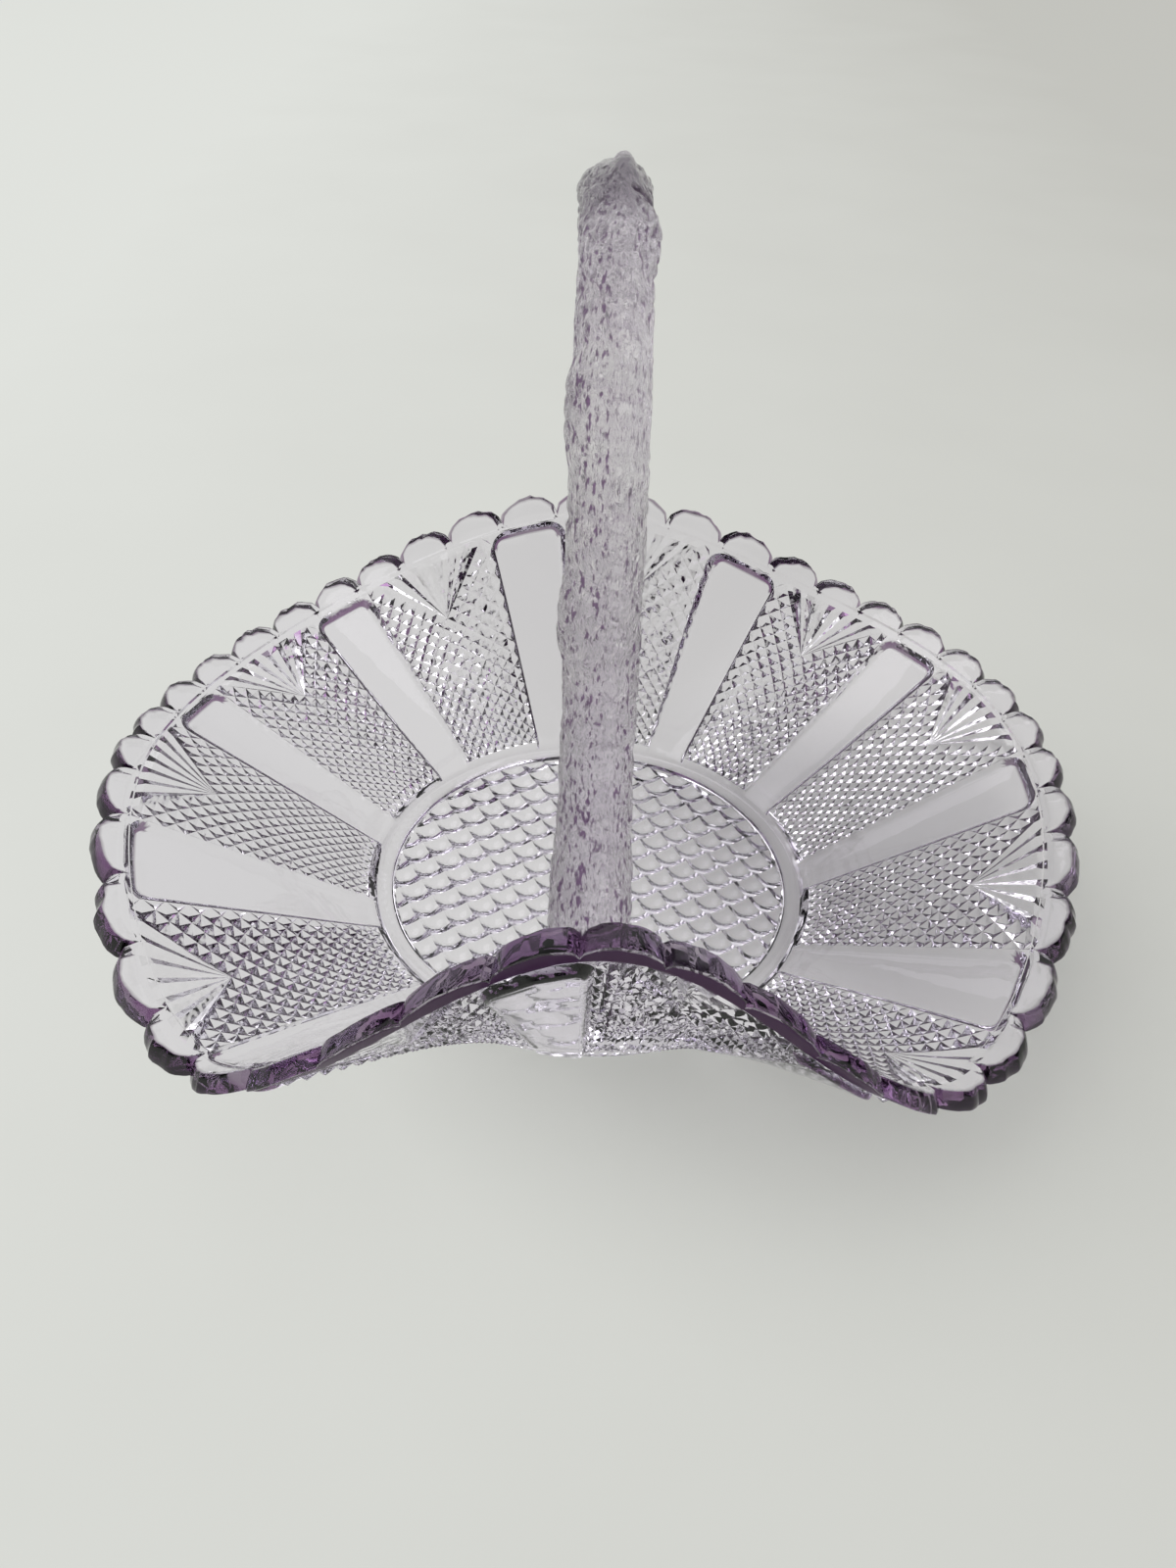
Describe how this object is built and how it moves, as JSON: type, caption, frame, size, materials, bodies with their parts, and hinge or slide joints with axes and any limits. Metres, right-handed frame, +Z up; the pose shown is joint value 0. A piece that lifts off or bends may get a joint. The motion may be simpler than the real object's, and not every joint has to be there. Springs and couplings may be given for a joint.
{
  "type": "glass basket",
  "caption": "Pressed glass basket: a round panelled dish with a scalloped rim, two sides drawn up to carry an arched bark-textured bail, for sweets or flowers on a table.",
  "frame": {"origin": "on the table plane, under the middle of the dish", "axes": "+Z up, +X along the long axis from side to side, the bail stands in the YZ plane with the near arm at -Y"},
  "size_m": [0.1702, 0.143, 0.1318],
  "materials": {
    "bowl_glass": "clear pressed glass with a faint sun-purple tint, fire polished inside",
    "bark_glass": "pressed bark texture in the same glass, cloudy lilac grey with dark purple furrows"
  },
  "bodies": {
    "root": {"bowl": "bowl_glass", "near_arm": "bark_glass", "far_arm": "bark_glass"}
  },
  "joints": []
}
